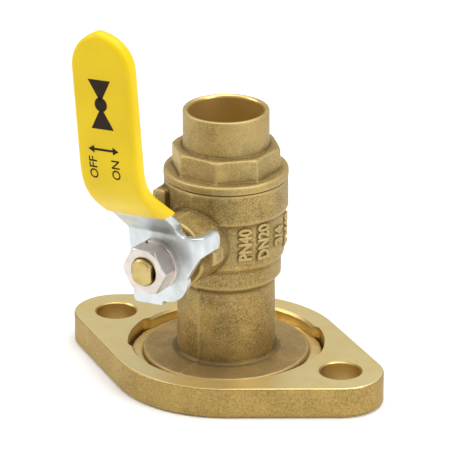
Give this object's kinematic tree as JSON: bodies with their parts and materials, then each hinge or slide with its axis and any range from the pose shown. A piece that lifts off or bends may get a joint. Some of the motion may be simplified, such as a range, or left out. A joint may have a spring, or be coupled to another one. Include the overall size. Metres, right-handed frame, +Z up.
{
  "type": "ball valve",
  "caption": "Brass ball valve with a solder socket on top, a rotating oval two-bolt flange below and a bent steel lever with a dipped grip.",
  "frame": {"origin": "centre of the flow port at the gasket face, on the pipe axis", "axes": "+Z up the pipe to the solder socket, X through the two flange bolts, stem and lever nut towards -Y"},
  "size_m": [0.1056, 0.0911, 0.121],
  "materials": {
    "cast_brass": "grit-blasted casting, dull",
    "machined_brass": "fine machined, satin",
    "stem_brass": "turned, satin",
    "chrome_ball": "polished",
    "ptfe": "waxy, matte",
    "zinc_steel": "bright zinc plate, satin",
    "nut_steel": "plain stainless, satin",
    "vinyl": "dipped vinyl, glossy"
  },
  "bodies": {
    "valve": {"valve_body": "cast_brass", "end_adapter": "cast_brass", "body_seal_ring": "ptfe", "seat_ring_lower": "ptfe", "seat_ring_upper": "ptfe", "thrust_washer": "ptfe", "packing_ring_inner": "ptfe", "packing_ring_outer": "ptfe", "packing_gland": "stem_brass"},
    "lever_set": {"lever": "zinc_steel", "lever_grip": "vinyl", "lock_washer": "nut_steel", "lever_nut": "nut_steel", "stem": "stem_brass", "ball": "chrome_ball"},
    "flange": {"swivel_flange": "machined_brass"}
  },
  "joints": [
    {"name": "lever_turn", "type": "hinge", "parent": "valve", "child": "lever_set", "pos_m": [0, 0, 0.0472], "axis": [0, -1, 0], "range_deg": [0, 90]},
    {"name": "flange_swivel", "type": "hinge", "parent": "valve", "child": "flange", "pos_m": [0, 0, 0], "axis": [0, 0, 1], "continuous": true}
  ]
}
